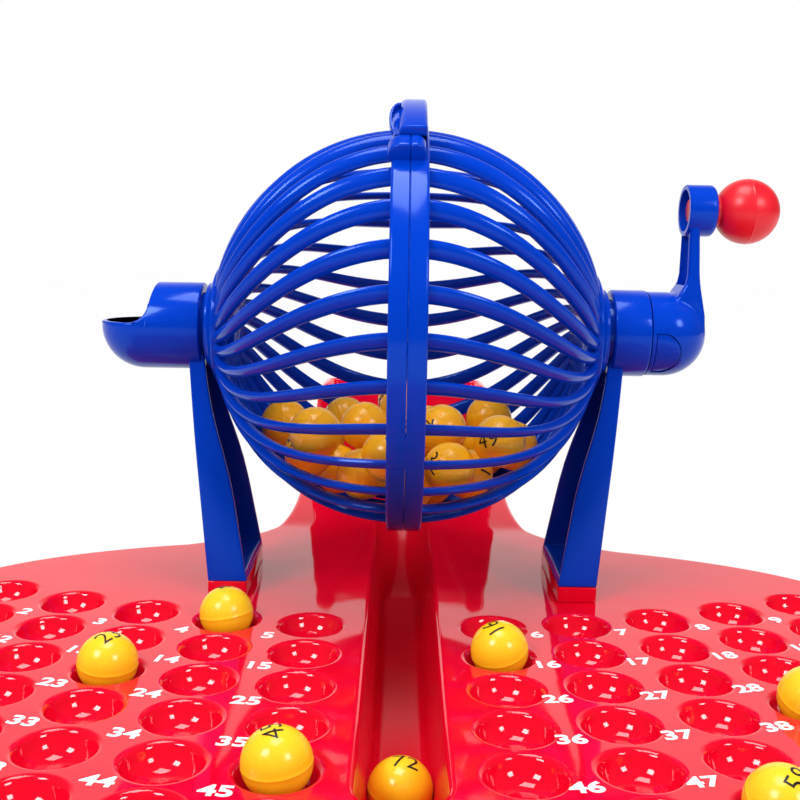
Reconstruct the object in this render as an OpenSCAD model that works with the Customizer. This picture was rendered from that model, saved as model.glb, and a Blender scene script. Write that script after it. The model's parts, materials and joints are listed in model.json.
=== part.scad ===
// Tabletop number-draw cage: a hand-cranked ball cage on two legs over a moulded ball board.
// +X is the crank side, -Y the front, +Z up. Origin at the bottom centre of the whole object.

/* [Balls] */
// Diameter of one ball
ball_d = 20; // [18:0.5:21]
// Balls lying against the cage
pile_outer = 21; // [6:1:21]
// Balls lying on top of those
pile_inner = 4; // [1:1:9]

/* [Cage] */
// Height of the cage axis over the board
axis_rise = 106; // [103:1:140]
// Outer radius of the two clamped half rings
ring_r = 81.6; // [80:0.2:86]
// Width of each half ring along the axis
ring_half_w = 6.8; // [5:0.2:8]
// Radial depth of the half rings
ring_depth = 7.3; // [6:0.1:7.3]
// Ribs in each half of the cage
rib_count = 30; // [16:1:30]
// Thickness of one rib
rib_d = 4.8; // [3.6:0.2:4.8]
// How far the ribs' outside stays inside the ring's outside
rib_inset = 2.5; // [1.5:0.1:3]
// Half the cage's length, pole to centre plane
cage_half_len = 80; // [80:0.5:90]
// Radius of the solid disc that the ribs run into
hub_r = 23.5; // [23.5:0.5:28]
// Radius of the shoulder outside that disc
shoulder_r = 17.5; // [15:0.5:19]
// Number of snap tongues that lock the halves
tongue_count = 3; // [2:1:4]
// Angle covered by one snap tongue, in degrees
tongue_angle = 10; // [6:1:14]

/* [Bearings] */
// Outer radius of both bearings
bearing_r = 17.5; // [16.5:0.5:20]
// Radius of the two hollow journals
journal_r = 13.4; // [12.8:0.1:14]
// Radial running clearance of the journals
running_gap = 0.05; // [0.02:0.01:0.1]
// Radius of the ball exit through the left journal
exit_r = 11.4; // [11:0.1:11.6]
// Gap between each hub shoulder and its bearing
end_gap = 2; // [1:0.5:4]
// Length of the left bearing
left_bearing_len = 20; // [16:1:26]
// Length of the right bearing
right_bearing_len = 14.5; // [10:0.5:20]
// Reach of the ball scoop past the left bearing
scoop_len = 21.5; // [19:0.5:30]
// Wall of the ball scoop
scoop_wall = 2.3; // [1.6:0.1:3]

/* [Latch] */
// Angle above the horizontal where the latch begins, at the front
latch_start = 60; // [50:1:64]
// Angle that the latch clip covers, in degrees
latch_angle = 20; // [14:1:22]
// Angle that the latch clip slides back to release, in degrees
latch_travel = 24; // [20:1:28]
// Height of the clip over the ring
latch_h = 9; // [8:0.5:11]
// Clearance all round the sliding clip
latch_gap = 0.35; // [0.3:0.05:0.5]

/* [Crank] */
// Distance from the cage axis to the knob axis
crank_r = 49.6; // [44:0.1:60]
// Radius of the crank's round hub
crank_hub_r = 17; // [16:0.5:19]
// Thickness of the crank arm along the axis, at the knob
arm_t = 4.2; // [3.6:0.1:6]
// Width of the crank arm at the knob
arm_w = 15; // [12:0.5:18]
// Radius of the boss that holds the knob
boss_r = 10.2; // [9.5:0.1:12]
// Length of that boss
boss_len = 11.5; // [11:0.1:16]
// Radius of the ball knob
knob_r = 12.9; // [10:0.1:15]
// Radius of the knob's shank
shank_r = 3.5; // [3:0.1:4]

/* [Legs] */
// Width of a leg's foot along the axis
foot_w = 15.4; // [13:0.2:18]
// Depth of a leg's foot, front to back
foot_depth = 51.6; // [44:0.4:60]
// Depth of a leg where it meets its bearing
leg_top_depth = 29; // [24:0.5:30]
// Distance from the centre plane to a foot's outer side
foot_reach = 77.5; // [76:0.5:84]
// How far a leg leans outwards on its way up
leg_lean = 10; // [6:0.5:12]
// Wall of a leg
leg_wall = 2.4; // [1.8:0.1:3]
// Height of the raised sockets that the legs plug into
socket_h = 6.4; // [5:0.2:9]
// Clearance of each leg's tenon in its pocket
tenon_gap = 0.15; // [0.1:0.05:0.3]

/* [Board] */
// Half the board's width
board_half_w = 190; // [185:1:210]
// Distance from the cage axis to the front edge
front_reach = 300; // [300:1:340]
// Distance from the cage axis to the back of the rear chute
rear_reach = 158; // [156:1:180]
// Height of the board's top face
board_h = 36; // [36:0.5:50]
// Wall of the board's top face
board_t = 2.5; // [1.8:0.1:3]
// Wall of the skirt under the board's edge
skirt_t = 2.2; // [1.6:0.1:3]
// Radius of the front corners
corner_r = 90; // [70:1:94]
// Rows of number dimples
row_count = 9; // [1:1:9]
// Distance from row to row
row_pitch = 27.7; // [27:0.1:28]
// Radius of the arc that each row follows
row_arc_r = 394; // [380:1:420]
// Radius of a dimple at the board's face
dimple_r = 11.24; // [11:0.02:11.5]
// Depth of a dimple
dimple_depth = 7.8; // [7:0.1:9]

/* [Trough] */
// Half the trough's width at the top
trough_half_w = 12.8; // [12.8:0.1:15]
// Half the width of the trough's floor
trough_floor_half_w = 8.8; // [8.7:0.1:10]
// Depth of the trough
trough_depth = 31; // [26:0.5:32]
// Distance from the cage axis to the trough's round front end
trough_reach = 172; // [168:1:176]
// Wall of the trough
trough_t = 2; // [1.6:0.1:2.4]

/* [Rear chute] */
// Half the width of the neck behind the board
neck_half_w = 54; // [52:0.5:60]
// Height that the neck climbs
ramp_h = 10; // [6:0.5:14]
// Height of the chute's walls over the ramp
chute_h = 54; // [45:0.5:60]
// Depth of the chute, front to back
chute_depth = 24; // [18:0.5:30]
// Half the width of the chute's opening at its foot
chute_foot_half_w = 19; // [17:0.5:24]
// Half the width of the chute's opening at the top
chute_top_half_w = 39.5; // [34:0.5:41]

/* [Hidden] */
$fn = 64;
eps = 0.01;
big = 400;

blue = "#1238c8";
red = "#e3122a";
knob_red = "#ee3440";
yellow = "#ffb526";

ball_r = ball_d / 2;
seat_gap = 0.3;
cage_y = (front_reach - rear_reach) / 2;
axis_z = board_h + axis_rise;

// Cage
ring_inner_r = ring_r - ring_depth;
rib_outer_r = ring_r - rib_inset;
rib_mid_r = rib_outer_r - rib_d / 2;
rib_step = 360 / rib_count;
rib_phase = -2.7;
rib_lean = 13;
rib_root_r = 29.6;
split_gap = 0.2;
tongue_first = -27;
tongue_depth = 3.4;
tongue_inset = 0.1;

// Bearings and journals
bearing_in_x = cage_half_len + end_gap;
left_bearing_end = bearing_in_x + left_bearing_len;
right_bearing_end = bearing_in_x + right_bearing_len;
bearing_bore_r = journal_r + running_gap;
scoop_rim = 2;
scoop_fillet = 8;

// Latch
latch_end = latch_start + latch_angle;
lug_angle = 4;
lug_h = 6.4;
lug_root = 1;
rail_neck_r = ring_r + 1.6;
rail_head_r = ring_r + 4.4;
rail_neck_w = 3.2;
rail_head_w = 4.6;
clip_left = 6.4;
clip_right = 6;
clip_top_r = ring_r + latch_h;
clip_foot_r = ring_r + 0.7;

// Crank
crank_in_x = right_bearing_end + 0.3;
crank_ball_x = crank_in_x + 7.3;
spigot_r = 12;
spigot_len = 13;
arm_in_x = crank_ball_x + 7.2;
arm_root_w = 18;
arm_root_t = 8.4;
arm_knee = 30;
arm_wall = 2;
boss_in_x = arm_in_x - 1;
boss_out_x = boss_in_x + boss_len;
boss_floor = 6.5;
boss_wall = 1.9;
knob_x = boss_out_x + knob_r + 0.4;
collar_r = 6;
head_r = 5.4;
head_len = 3;
shank_end_x = boss_out_x - boss_floor - 0.4 - head_len;
snap_x = crank_in_x + 3.3;
snap_drop = 6.7;
snap_r = 8.2;
snap_flat = 1.7;

// Legs
leg_foot_z = board_h + socket_h;
leg_top_z = axis_z - 7;
leg_h = leg_top_z - leg_foot_z;
tenon_len = 4.5;
tenon_w = 8;
tenon_d = 12;
tenon_spread = 14;

// Board outline: an oval back, straight sides and a round-cornered front
oval_y = -27;
oval_depth = 88.5;
neck_root_y = 51;
neck_flare = 38;
neck_decay = 20;
fold_y = 82;
field_back_y = -5;
dimple_floor_r = 6.8;
dimple_wall = 2;
trough_ball_reach = 137;
first_column = 4.936;
column_step = 4.71;
columns = 5;
band_rows = 3;
max_rows = 9;
first_row_y = -56.5;

// Numbers whose balls have been drawn
drawn = [4, 16, 23, 39, 45, 58];

function neck_w(y) = neck_half_w + neck_flare * exp(-(y - neck_root_y) / neck_decay);
function oval(x, inset) =
    oval_y + (oval_depth - inset) * sqrt(max(0, 1 - pow(x / (board_half_w - inset), 2)));
function right_edge(inset) = concat(
    [for (i = [0 : 16]) let (y = rear_reach - inset - i * (rear_reach - inset - neck_root_y) / 16)
        [neck_w(y) - inset, y]],
    [for (a = [58 : -4 : 2]) let (x = (board_half_w - inset) * cos(a)) [x, oval(x, inset)]],
    [for (a = [0 : -10 : -90]) [board_half_w - corner_r + (corner_r - inset) * cos(a),
                                -front_reach + corner_r + (corner_r - inset) * sin(a)]]);
function outline(inset) =
    let (side = right_edge(inset))
    concat(side, [for (i = [len(side) - 1 : -1 : 0]) [-side[i][0], side[i][1]]]);

function dimple_place(row, column, side) =
    let (a = first_column + column * column_step)
    [side * row_arc_r * sin(a), first_row_y - row * row_pitch + row_arc_r * (1 - cos(a))];
function number_place(n) =
    let (row = floor((n - 1) / 10), i = (n - 1) % 10)
    i < 5 ? dimple_place(row, 4 - i, -1) : dimple_place(row, i - 5, 1);

// Balls in the cage lie on a golden-angle spiral, so that none lines up with the next
pile_r = ring_inner_r - ball_r - 0.35;
pile_pitch = 1.16 * ball_d;
inner_pile_r = pile_r - ball_d - 0.1;
function on_bowl(radius, i, turn) =
    let (down = 1 - (i + 0.7) * pow(pile_pitch / radius, 2) / (2 * PI), out = sqrt(1 - down * down), a = i * 137.508 + turn)
    [radius * out * cos(a), radius * out * sin(a), -radius * down];

module at_cage() {
    translate([0, cage_y, 0]) children();
}
module on_axis() {
    translate([0, cage_y, axis_z]) children();
}
// Turns a flat shape of (radius, x) round the cage axis
module spin() {
    rotate([0, 90, 0]) rotate_extrude() children();
}
// The same, between two angles above the front horizontal
module spin_between(low, high) {
    rotate([0, 90, 0]) rotate([0, 0, 270 - high]) rotate_extrude(angle = high - low) children();
}
module band(r1, r2, x1, x2) {
    translate([r1, x1]) square([r2 - r1, x2 - x1]);
}
// Extrudes a flat shape of (x, z) from y1 to y2
module along_y(y1, y2) {
    translate([0, y2, 0]) rotate([90, 0, 0]) linear_extrude(y2 - y1) children();
}
// Extrudes a flat shape of (y, z) from x1 to x2
module along_x(x1, x2) {
    translate([x1, 0, 0]) rotate([90, 0, 90]) linear_extrude(x2 - x1) children();
}

// ---- Board ----
module trough_slot(half_w) {
    translate([-half_w, -trough_reach]) square([2 * half_w, trough_reach + rear_reach - chute_depth]);
    translate([0, -trough_reach]) circle(half_w);
}
// The sheet behind the dimples, and the strip between them in front of the trough
module board_deck() {
    color(red) at_cage() translate([0, 0, board_h - board_t]) linear_extrude(board_t) difference() {
        polygon(outline(0));
        trough_slot(trough_half_w + trough_t);
        for (side = [0, 1]) mirror([side, 0]) field_area();
    }
}
module field_area() {
    translate([trough_half_w + trough_t, -big]) square([big, big + field_back_y]);
}
// The field from midway behind one row to the front edge
module field_from(row) {
    difference() {
        field_area();
        if (row > 0) translate([0, first_row_y - (row - 0.5) * row_pitch + row_arc_r])
            circle(row_arc_r, $fn = 180);
    }
}
// Some rows of one side's number dimples and the sheet between them
module dimple_field(first) {
    rim = dimple_r + dimple_wall;
    foot = dimple_floor_r + dimple_wall;
    color(red) at_cage() translate([0, 0, board_h]) difference() {
        union() {
            translate([0, 0, -board_t]) linear_extrude(board_t) difference() {
                intersection() {
                    polygon(outline(0));
                    field_from(first);
                }
                if (first + band_rows < max_rows) field_from(first + band_rows);
            }
            each_dimple(first) translate([0, 0, -dimple_depth - board_t])
                cylinder(h = dimple_depth + eps, r1 = foot, r2 = rim);
        }
        each_dimple(first) translate([0, 0, -dimple_depth])
            cylinder(h = dimple_depth + eps, r1 = dimple_floor_r, r2 = dimple_r);
    }
}
module each_dimple(first) {
    for (row = [0 : row_count - 1], column = [0 : columns - 1])
        if (row >= first && row < first + band_rows) translate(dimple_place(row, column, 1)) children();
}
module right_field(band) {
    dimple_field(band * band_rows);
}
module left_field(band) {
    mirror([1, 0, 0]) right_field(band);
}
module board_skirt() {
    color(red) at_cage() linear_extrude(board_h - board_t) difference() {
        polygon(outline(0));
        polygon(outline(skirt_t));
    }
}
module trough_section(grow) {
    polygon([[0, 0], [trough_half_w + grow, 0], [trough_half_w + grow, -grow],
             [trough_floor_half_w + grow, -trough_depth - grow], [0, -trough_depth - grow]]);
}
module trough_form(grow, back_y) {
    along_y(-trough_reach, back_y) {
        trough_section(grow);
        mirror([1, 0]) trough_section(grow);
    }
    translate([0, -trough_reach, 0]) rotate_extrude() trough_section(grow);
}
module ball_trough() {
    back_y = rear_reach - chute_depth;
    slope_y = back_y - 75;
    color(red) at_cage() translate([0, 0, board_h]) intersection() {
        difference() {
            trough_form(trough_t, back_y);
            difference() {
                trough_form(0, back_y + eps);
                along_x(-trough_half_w, trough_half_w)
                    polygon([[slope_y, -trough_depth - eps], [back_y + 1, -trough_depth - eps],
                             [back_y + 1, -board_t], [back_y, -board_t]]);
            }
        }
        translate([-big / 2, -big / 2, -trough_depth - trough_t]) cube([big, big, trough_depth + trough_t]);
    }
}
module neck_ramp() {
    front = rear_reach - chute_depth;
    color(red) at_cage() translate([0, 0, board_h]) difference() {
        intersection() {
            along_x(-big / 2, big / 2)
                polygon([[fold_y, 0], [front, ramp_h], [rear_reach, ramp_h], [rear_reach, 0]]);
            linear_extrude(ramp_h) polygon(outline(0));
        }
        translate([0, 0, -eps]) linear_extrude(ramp_h + 1) trough_slot(trough_half_w);
    }
}
module chute_section() {
    foot = neck_half_w - 3;
    top = neck_half_w - 8;
    polygon([[-foot, 0], [foot, 0], [top, chute_h - 4], [top - 4, chute_h],
             [4 - top, chute_h], [-top, chute_h - 4]]);
}
module rear_chute() {
    front = rear_reach - chute_depth;
    wall = 3;
    color(red) at_cage() translate([0, 0, board_h + ramp_h]) {
        difference() {
            along_y(front, rear_reach) chute_section();
            along_y(front - 1, rear_reach - wall)
                polygon([[-chute_foot_half_w, -1], [chute_foot_half_w, -1],
                         [chute_foot_half_w + 5, 20], [chute_top_half_w, chute_h + 1],
                         [-chute_top_half_w, chute_h + 1], [-chute_foot_half_w - 5, 20]]);
        }
    }
}
module tenon(extra) {
    for (y = [-tenon_spread, tenon_spread])
        translate([foot_reach - foot_w / 2 - tenon_w / 2 - extra, y - tenon_d / 2 - extra, -tenon_len - extra])
            cube([tenon_w + 2 * extra, tenon_d + 2 * extra, tenon_len + 2 * extra]);
}
module leg_socket() {
    translate([0, 0, leg_foot_z]) difference() {
        translate([foot_reach - foot_w, -foot_depth / 2, -socket_h])
            cube([foot_w, foot_depth, socket_h]);
        tenon(tenon_gap);
    }
}
module leg_sockets() {
    color(red) at_cage() {
        leg_socket();
        mirror([1, 0, 0]) leg_socket();
    }
}

// ---- Legs ----
// Front view of a leg: its inner edge hollows away from the turning cage
module leg_front() {
    polygon([[foot_reach - foot_w, 0], [foot_reach, 0], [foot_reach + leg_lean, leg_h],
             [foot_reach + leg_lean - 6, leg_h], [foot_reach + leg_lean - 9.5, leg_h * 0.75],
             [foot_reach + 4.4 - 12.9, leg_h * 0.44]]);
}
module leg_side(inset) {
    polygon([[inset - foot_depth / 2, 0], [foot_depth / 2 - inset, 0],
             [leg_top_depth / 2 - inset, leg_h], [inset - leg_top_depth / 2, leg_h]]);
}
module leg() {
    floor_t = 3;
    translate([0, 0, leg_foot_z]) {
        difference() {
            intersection() {
                along_y(-foot_depth / 2, foot_depth / 2) leg_front();
                along_x(0, foot_reach + leg_lean) leg_side(0);
            }
            intersection() {
                along_y(-foot_depth / 2, foot_depth / 2)
                    polygon([[0, floor_t], [foot_reach - leg_wall + leg_lean * floor_t / leg_h, floor_t],
                             [foot_reach - leg_wall + leg_lean, leg_h], [0, leg_h]]);
                along_x(0, foot_reach + leg_lean) leg_side(leg_wall);
            }
            translate([0, 0, axis_z - leg_foot_z]) rotate([0, 90, 0]) cylinder(h = big, r = bearing_r);
        }
        tenon(0);
    }
}
module right_leg() {
    color(blue) at_cage() leg();
}
module left_leg() {
    color(blue) at_cage() mirror([1, 0, 0]) leg();
}

// ---- Bearings ----
module left_bearing() {
    color(blue) on_axis() spin() band(bearing_bore_r, bearing_r, -left_bearing_end, -bearing_in_x);
}
module right_bearing() {
    color(blue) on_axis() spin() band(bearing_bore_r, bearing_r, bearing_in_x, right_bearing_end);
}
// Half section of the scoop's shell, as (radius, x): a straight tube that ends in a round nose
module scoop_section(shrink) {
    nose_x = -left_bearing_end - scoop_len + bearing_r;
    intersection() {
        union() {
            translate([0, nose_x]) circle(bearing_r - shrink);
            band(0, bearing_r - shrink, nose_x, -left_bearing_end + shrink);
        }
        band(0, bearing_r, -left_bearing_end - scoop_len, -left_bearing_end);
    }
}
module ball_scoop() {
    x = -left_bearing_end;
    arc_x = x - scoop_fillet;
    arc_z = scoop_rim + scoop_fillet;
    color(blue) on_axis() difference() {
        spin() difference() {
            scoop_section(0);
            scoop_section(scoop_wall);
        }
        along_y(-2 * bearing_r, 2 * bearing_r) polygon(concat(
            [[x - big, big], [x - big, scoop_rim]],
            [for (a = [-90 : 10 : 0]) [arc_x + scoop_fillet * cos(a), arc_z + scoop_fillet * sin(a)]],
            [[x, big]]));
    }
}

// ---- Cage ----
// Snap tongues of the right half, or with some clearance, the notches for them in the left half
module tongues(extra, root_x) {
    for (i = [0 : tongue_count - 1]) let (a = tongue_first + i * 360 / tongue_count)
        spin_between(a - tongue_angle / 2 - extra, a + tongue_angle / 2 + extra)
            band(ring_r - tongue_depth - extra, ring_r - tongue_inset + extra, -ring_half_w - extra, root_x);
}
module half_ring() {
    spin() band(ring_inner_r, ring_r, 0, ring_half_w);
}
// The part of a half ring that the latch clip grips
module rail(high) {
    spin_between(latch_start, high) {
        band(ring_r - lug_root, rail_neck_r, 0, rail_neck_w);
        band(rail_neck_r - eps, rail_head_r, 0, rail_head_w);
    }
}
// The stop in front of the clip, on one half ring
module lug(width) {
    spin_between(latch_start - 1 - lug_angle, latch_start - 1)
        band(ring_r - lug_root, ring_r + lug_h, 0, width);
}
module left_ring() {
    color(blue) on_axis() mirror([1, 0, 0]) difference() {
        union() {
            half_ring();
            lug(ring_half_w + 1.5);
            rail(latch_end + latch_travel + 1);
        }
        mirror([1, 0, 0]) tongues(split_gap, 1);
    }
}
module right_ring() {
    color(blue) on_axis() {
        half_ring();
        intersection() {
            tongues(0, 2);
            spin() band(ring_inner_r, ring_r, -ring_half_w, ring_half_w);
        }
        lug(ring_half_w - 1.3);
        rail(latch_end);
    }
}
// One rib, whose plane leans round the cage, as all of them do, so that they swirl into the hub
module rib() {
    difference() {
        rotate([0, -rib_lean, 0]) rotate([0, 0, 12]) rotate_extrude(angle = 77)
            translate([rib_mid_r, 0]) circle(d = rib_d, $fn = 32);
        translate([-10, -10, -10]) cube([ring_half_w + 10, big, 20]);
        rotate([0, 90, 0]) cylinder(h = big, r = rib_root_r);
    }
}
module rib_set() {
    on_axis() for (i = [0 : rib_count - 1]) rotate([rib_phase + i * rib_step, 0, 0]) rib();
}
module right_ribs() {
    color(blue) rib_set();
}
module left_ribs() {
    color(blue) mirror([1, 0, 0]) rib_set();
}
module hub_section(bore) {
    end = sqrt(pow(rib_mid_r, 2) - pow(hub_r, 2));
    root = sqrt(pow(rib_mid_r, 2) - pow(rib_root_r, 2));
    polygon([[bore, end - 2.4], [hub_r, end - 2.4], [rib_root_r, root - 2.4], [rib_root_r, root + 2.4], [hub_r, end + 3.2],
             [shoulder_r, end + 5.6], [shoulder_r, cage_half_len], [bore, cage_half_len]]);
}
module right_hub() {
    color(blue) on_axis() spin() hub_section(0);
}
module left_hub() {
    color(blue) on_axis() mirror([1, 0, 0]) spin() hub_section(exit_r);
}
module left_journal() {
    color(blue) on_axis() spin() band(exit_r, journal_r, -left_bearing_end, -cage_half_len);
}
// Half-round snap that holds the crank on, seen through the crank's window
module snap_outline(extra) {
    intersection() {
        circle(snap_r + extra);
        translate([-snap_flat - extra, -big / 2]) square([big, big]);
    }
}
module snap_form(extra, y1, y2) {
    translate([snap_x, 0, -snap_drop]) along_y(y1, y2) snap_outline(extra);
}
module right_journal() {
    color(blue) on_axis() {
        spin() band(0, journal_r, cage_half_len, right_bearing_end);
        spin() band(0, spigot_r, right_bearing_end - eps, right_bearing_end + spigot_len);
        difference() {
            snap_form(0, 0.5 - crank_hub_r, 0);
            rotate([0, 90, 0]) cylinder(h = right_bearing_end + 0.5, r = big);
            spin() band(crank_hub_r - 0.4, big, 0, big);
        }
    }
}
module latch_clip() {
    color(blue) on_axis() {
        spin_between(latch_start + latch_gap / 2, latch_end) difference() {
            union() {
                band(clip_foot_r, clip_top_r - 4, -clip_left, clip_right);
                band(clip_foot_r, clip_top_r, 4 - clip_left, clip_right);
                translate([clip_top_r - 4, 4 - clip_left]) circle(4, $fn = 32);
            }
            band(rail_neck_r - latch_gap, rail_head_r + latch_gap,
                 -rail_head_w - latch_gap, rail_head_w + latch_gap);
            band(clip_foot_r - 1, rail_head_r, -rail_neck_w - latch_gap, rail_neck_w + latch_gap);
        }
    }
}

// ---- Crank ----
// The arm: narrower and thinner towards the knob
module crank_arm() {
    intersection() {
        along_x(arm_in_x, arm_in_x + arm_root_t)
            polygon([[-arm_root_w / 2, 0], [arm_root_w / 2, 0], [arm_w / 2, crank_r], [-arm_w / 2, crank_r]]);
        along_y(-arm_root_w, arm_root_w)
            polygon([[arm_in_x, -eps], [arm_in_x + arm_root_t, -eps], [arm_in_x + arm_t + 0.4, arm_knee],
                     [arm_in_x + arm_t, crank_r + eps], [arm_in_x, crank_r + eps]]);
    }
}
module crank() {
    color(blue) on_axis() difference() {
        union() {
            spin() band(0, crank_hub_r, crank_in_x, crank_ball_x);
            translate([crank_ball_x, 0, 0]) sphere(crank_hub_r, $fn = 64);
            crank_arm();
            translate([boss_in_x, 0, crank_r]) rotate([0, 90, 0]) cylinder(h = boss_len, r = boss_r);
        }
        translate([crank_in_x - 30, 0, 0]) rotate([0, 90, 0]) cylinder(h = 30, r = big);
        translate([crank_in_x - 1, 0, 0]) rotate([0, 90, 0]) cylinder(h = spigot_len + 1.2, r = spigot_r + 0.1);
        snap_form(0.25, -big, 0);
        along_x(arm_in_x - 1, arm_in_x + arm_t - arm_wall)
            polygon([[arm_wall - arm_root_w / 2, crank_hub_r + 1], [arm_root_w / 2 - arm_wall, crank_hub_r + 1],
                     [arm_w / 2 - arm_wall, crank_r - boss_r], [arm_wall - arm_w / 2, crank_r - boss_r]]);
        translate([boss_in_x - 1, 0, crank_r]) rotate([0, 90, 0]) {
            cylinder(h = boss_len + 2, r = shank_r + running_gap);
            cylinder(h = boss_len - boss_floor + 1, r = boss_r - boss_wall);
        }
    }
}
module knob() {
    color(knob_red) on_axis() translate([0, 0, crank_r]) {
        difference() {
            translate([knob_x, 0, 0]) sphere(knob_r, $fn = 64);
            rotate([0, 90, 0]) cylinder(h = boss_out_x + seat_gap, r = big);
        }
        rotate([0, 90, 0]) {
            translate([0, 0, boss_out_x + seat_gap]) cylinder(h = knob_x - boss_out_x, r = collar_r);
            translate([0, 0, shank_end_x]) cylinder(h = knob_x - shank_end_x, r = shank_r);
            translate([0, 0, shank_end_x]) cylinder(h = head_len, r = head_r);
        }
    }
}

// ---- Balls ----
module ball() {
    sphere(ball_r, $fn = 64);
}
module balls_in_cage() {
    color(yellow) on_axis() {
        for (i = [0 : pile_outer - 1]) translate(on_bowl(pile_r, i, 0)) ball();
        for (i = [0 : pile_inner - 1]) translate(on_bowl(inner_pile_r, i, 40)) ball();
    }
}
module balls_on_board() {
    color(yellow) at_cage() translate([0, 0, board_h - dimple_depth + ball_r + seat_gap])
        for (n = drawn) translate(number_place(n)) ball();
}
module ball_in_trough() {
    color(yellow) at_cage() translate([0, -trough_ball_reach, board_h - trough_depth + ball_r + seat_gap]) ball();
}

board_deck();
left_field(0);  // left_field_rear
left_field(1);  // left_field_middle
left_field(2);  // left_field_front
right_field(0);  // right_field_rear
right_field(1);  // right_field_middle
right_field(2);  // right_field_front
board_skirt();
ball_trough();
neck_ramp();
rear_chute();
leg_sockets();
left_leg();
right_leg();
left_bearing();
ball_scoop();
right_bearing();
left_ring();
right_ring();
left_ribs();
right_ribs();
left_hub();
right_hub();
left_journal();
right_journal();
latch_clip();
crank();
knob();
balls_in_cage();
balls_on_board();
ball_in_trough();
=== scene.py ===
"""A bingo cage on its moulded number board: the visible pieces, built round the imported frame."""
import json
import math
import random

import bmesh
import bpy
from bpy.props import FloatProperty, FloatVectorProperty, IntProperty, PointerProperty
from mathutils import Matrix, Quaternion, Vector


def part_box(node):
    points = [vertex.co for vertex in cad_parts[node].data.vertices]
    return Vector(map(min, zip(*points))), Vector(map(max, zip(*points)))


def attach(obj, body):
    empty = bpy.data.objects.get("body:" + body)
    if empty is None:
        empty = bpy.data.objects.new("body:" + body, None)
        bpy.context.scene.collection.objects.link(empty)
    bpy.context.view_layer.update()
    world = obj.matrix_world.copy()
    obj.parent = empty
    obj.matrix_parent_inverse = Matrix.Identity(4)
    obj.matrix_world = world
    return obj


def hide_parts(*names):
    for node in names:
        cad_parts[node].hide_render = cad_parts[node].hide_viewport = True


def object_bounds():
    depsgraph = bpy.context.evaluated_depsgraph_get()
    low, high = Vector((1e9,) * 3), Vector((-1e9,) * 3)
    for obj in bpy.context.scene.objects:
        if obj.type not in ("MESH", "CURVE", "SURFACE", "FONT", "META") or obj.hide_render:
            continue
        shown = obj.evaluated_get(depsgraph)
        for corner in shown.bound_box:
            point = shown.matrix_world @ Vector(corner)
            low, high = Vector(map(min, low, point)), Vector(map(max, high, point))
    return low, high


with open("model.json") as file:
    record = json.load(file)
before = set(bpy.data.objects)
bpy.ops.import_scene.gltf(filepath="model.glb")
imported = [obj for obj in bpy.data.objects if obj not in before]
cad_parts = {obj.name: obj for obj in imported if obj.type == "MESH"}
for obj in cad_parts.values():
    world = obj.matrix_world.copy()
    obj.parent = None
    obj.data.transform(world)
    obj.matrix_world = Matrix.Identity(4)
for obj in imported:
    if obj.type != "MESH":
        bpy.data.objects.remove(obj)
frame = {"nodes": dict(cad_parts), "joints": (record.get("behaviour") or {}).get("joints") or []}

bl_info = {
    "name": "Bingo cage",
    "version": (1, 0, 0),
    "blender": (4, 5, 0),
    "location": "3D View > Sidebar > Bingo cage",
    "description": "Builds a bingo cage, its number board and its balls",
    "category": "Object",
}

CAD_LOW, CAD_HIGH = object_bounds()
MM = 0.001
JOINTS = {joint["name"]: joint for joint in frame["joints"]}
CAGE = Vector(JOINTS["cage_spin"]["pos_m"])
KNOB = Vector(JOINTS["knob_spin"]["pos_m"])
DECK_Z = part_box("board_deck")[1].z
AXIS = Vector((1, 0, 0))

# The board's outline and its number places, in millimetres from the point below the cage's centre
REAR = (CAD_HIGH.y - CAGE.y) / MM
FRONT = (CAD_LOW.y - CAGE.y) / MM
HALF_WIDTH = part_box("board_skirt")[1].x / MM
CORNER = 90
OVAL_Y, OVAL_DEPTH = -27, 88.5
NECK_Y, NECK_HALF, NECK_FLARE, NECK_DECAY = 51, 54, 38, 20
FOLD_Y, FOLD_HALF, RAMP_Y, RAMP_H = 82, 4, 134, 10
ROW_ARC, FIRST_ROW_Y, ROW_PITCH = 394, -56.5, 27.7
FIRST_COLUMN, COLUMN_STEP = 4.936, 4.71
TROUGH_END_Y, TROUGH_HALF, TROUGH_FLOOR_HALF, TROUGH_DEPTH, TROUGH_SLOPE_Y = -172, 12.8, 8.8, 31, 59
LAST_NUMBER = 90
CORNER_NUMBERS = (81, 90)
DRAWN = (4, 16, 23, 39, 45, 58)
TROUGH_NUMBER = 72

# How far the ribs are turned round the axis, in degrees
RIB_PHASE = -2.2

# Places on the ring in degrees above the front horizontal, and the angles that pieces there reach over
TONGUE_PLACES, TONGUE_ANGLE = (-27, 93, 213), 10
LUG_START, LUG_ANGLE = 52, 4.5
RAIL_START, LEFT_RAIL_END, RIGHT_RAIL_END = 60, 104, 80
LATCH_START, LATCH_ANGLE = 57.2, 22.8

# The journals, and the bores that they turn in
JOURNAL_R, BEARING_BORE = 13.4, 13.45

# The heap in the cage: a bowl of balls against the ribs, some on top, and the turn from ball to ball
BOWL_BALLS, TOP_BALLS, GOLDEN_ANGLE = 21, 4, 137.508

# How far the middle of a printed figure lies over its surface, in metres
PRINT_LIFT = 0.00002


def linear(code):
    """A linear colour from an sRGB hex code."""
    parts = [int(code[i:i + 2], 16) / 255 for i in (1, 3, 5)]
    return [p / 12.92 if p <= 0.04045 else ((p + 0.055) / 1.055) ** 2.4 for p in parts]


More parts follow.
